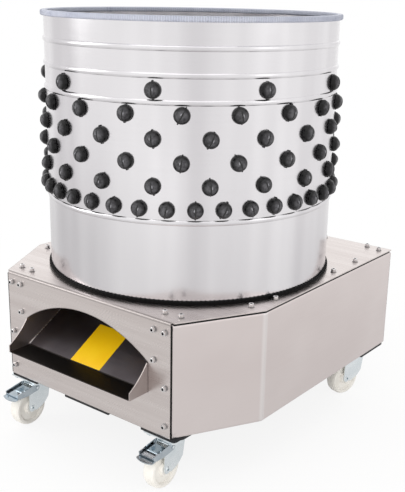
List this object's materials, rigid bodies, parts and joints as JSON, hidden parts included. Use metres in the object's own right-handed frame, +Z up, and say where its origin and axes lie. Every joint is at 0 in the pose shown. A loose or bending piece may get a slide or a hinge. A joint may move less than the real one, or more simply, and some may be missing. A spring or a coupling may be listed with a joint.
{
  "type": "poultry plucker",
  "caption": "Wheeled poultry plucker: open steel drum lined with rubber fingers over a belt-driven turning plate, on a folded steel base with an arched feather chute.",
  "frame": {"origin": "on the drum's axis at floor level", "axes": "+Z up along the drum's axis, the chute faces -Y, +X to the right seen from the chute"},
  "size_m": [0.6322, 0.7885, 0.8735],
  "materials": {
    "base_sheet": "satin stainless sheet",
    "rail_steel": "painted bar",
    "chute_sheet": "satin stainless sheet",
    "screw_steel": "bright",
    "drum_sheet": "bright rolled stainless sheet",
    "rim_trim": "ribbed edge trim",
    "seal_rubber": "matt",
    "finger_rubber": "matt moulded",
    "bracket_steel": "satin",
    "plate_sheet": "satin stainless plate",
    "cast_grey": "cast and turned",
    "shaft_steel": "turned",
    "belt_rubber": "fabric-backed",
    "motor_paint": "painted casting",
    "fan_plastic": "moulded",
    "box_plastic": "moulded",
    "gland_plastic": "moulded",
    "green_plastic": "gloss",
    "red_plastic": "gloss",
    "zinc_steel": "bright zinc plate",
    "wheel_nylon": "white polyamide"
  },
  "bodies": {
    "base": {"top_front_panel": "base_sheet", "right_side_panel": "base_sheet", "left_side_panel": "base_sheet", "rear_panel": "base_sheet", "front_caster_rail": "rail_steel", "rear_caster_rail": "rail_steel", "feather_chute": "chute_sheet", "panel_screws": "screw_steel", "drum_shell": "drum_sheet", "rim_trim": "rim_trim", "drum_seal": "seal_rubber", "top_gasket": "seal_rubber", "drum_brackets": "bracket_steel", "finger_row_1": "finger_rubber", "finger_row_2": "finger_rubber", "finger_row_3": "finger_rubber", "finger_row_4": "finger_rubber", "finger_row_5": "finger_rubber", "finger_row_6": "finger_rubber", "bearing_housing": "cast_grey", "shaft_bearings": "shaft_steel", "v_belt": "belt_rubber", "motor_mount_plate": "bracket_steel", "motor_standoffs": "zinc_steel", "motor_end_shield": "motor_paint", "motor_housing": "motor_paint", "motor_fan_cover": "motor_paint", "terminal_box": "motor_paint", "switch_box": "box_plastic", "cable_gland": "gland_plastic", "caster_plates": "zinc_steel", "caster_bolts": "zinc_steel"},
    "feather_rotor": {"feather_plate": "plate_sheet", "plate_fingers": "finger_rubber", "scraper_blades": "bracket_steel", "plate_hub": "cast_grey", "shaft_nut": "screw_steel", "main_shaft": "shaft_steel", "shaft_seal": "seal_rubber", "plate_pulley": "cast_grey"},
    "motor_rotor": {"motor_shaft": "shaft_steel", "motor_pulley": "cast_grey", "motor_fan": "fan_plastic"},
    "start_push": {"start_button": "green_plastic"},
    "stop_push": {"stop_button": "red_plastic"},
    "swivel_fl": {"caster_fork_fl": "zinc_steel", "caster_axle_fl": "zinc_steel"},
    "wheel_fl": {"caster_wheel_fl": "wheel_nylon"},
    "swivel_fr": {"caster_fork_fr": "zinc_steel", "caster_axle_fr": "zinc_steel"},
    "wheel_fr": {"caster_wheel_fr": "wheel_nylon"},
    "swivel_rl": {"caster_fork_rl": "zinc_steel", "caster_axle_rl": "zinc_steel"},
    "wheel_rl": {"caster_wheel_rl": "wheel_nylon"},
    "swivel_rr": {"caster_fork_rr": "zinc_steel", "caster_axle_rr": "zinc_steel"},
    "wheel_rr": {"caster_wheel_rr": "wheel_nylon"},
    "pedal_fl": {"brake_pedal_fl": "zinc_steel"},
    "pedal_fr": {"brake_pedal_fr": "zinc_steel"}
  },
  "joints": [
    {"name": "plate_spin", "type": "hinge", "parent": "base", "child": "feather_rotor", "pos_m": [0, 0, 0.3], "axis": [0, 0, 1], "continuous": true},
    {"name": "motor_spin", "type": "hinge", "parent": "base", "child": "motor_rotor", "pos_m": [0, 0.215, 0.2], "axis": [0, 0, 1], "continuous": true},
    {"name": "swivel_fl", "type": "hinge", "parent": "base", "child": "swivel_fl", "pos_m": [-0.193, -0.275, 0.096], "axis": [0, 0, 1], "continuous": true},
    {"name": "roll_fl", "type": "hinge", "parent": "swivel_fl", "child": "wheel_fl", "pos_m": [-0.193, -0.313, 0.04], "axis": [1, 0, 0], "continuous": true},
    {"name": "swivel_fr", "type": "hinge", "parent": "base", "child": "swivel_fr", "pos_m": [0.193, -0.275, 0.096], "axis": [0, 0, 1], "continuous": true},
    {"name": "roll_fr", "type": "hinge", "parent": "swivel_fr", "child": "wheel_fr", "pos_m": [0.193, -0.313, 0.04], "axis": [1, 0, 0], "continuous": true},
    {"name": "swivel_rl", "type": "hinge", "parent": "base", "child": "swivel_rl", "pos_m": [-0.268, 0.303, 0.096], "axis": [0, 0, 1], "continuous": true},
    {"name": "roll_rl", "type": "hinge", "parent": "swivel_rl", "child": "wheel_rl", "pos_m": [-0.2601, 0.26583, 0.04], "axis": [0.9781, 0.2079, 0], "continuous": true},
    {"name": "swivel_rr", "type": "hinge", "parent": "base", "child": "swivel_rr", "pos_m": [0.268, 0.303, 0.096], "axis": [0, 0, 1], "continuous": true},
    {"name": "roll_rr", "type": "hinge", "parent": "swivel_rr", "child": "wheel_rr", "pos_m": [0.25816, 0.26629, 0.04], "axis": [0.9659, -0.2588, 0], "continuous": true},
    {"name": "brake_fl", "type": "hinge", "parent": "swivel_fl", "child": "pedal_fl", "pos_m": [-0.193, -0.301, 0.084], "axis": [1, 0, 0], "range_deg": [0, 9]},
    {"name": "brake_fr", "type": "hinge", "parent": "swivel_fr", "child": "pedal_fr", "pos_m": [0.193, -0.301, 0.084], "axis": [1, 0, 0], "range_deg": [0, 9]},
    {"name": "start_press", "type": "slide", "parent": "base", "child": "start_push", "axis": [0, -1, 0], "range_m": [0, 0.004], "stiffness_N_per_m": 600},
    {"name": "stop_press", "type": "slide", "parent": "base", "child": "stop_push", "axis": [0, -1, 0], "range_m": [0, 0.004], "stiffness_N_per_m": 600}
  ],
  "couplings": [
    {"joint": "motor_spin", "follows": "plate_spin", "ratio": 4}
  ]
}
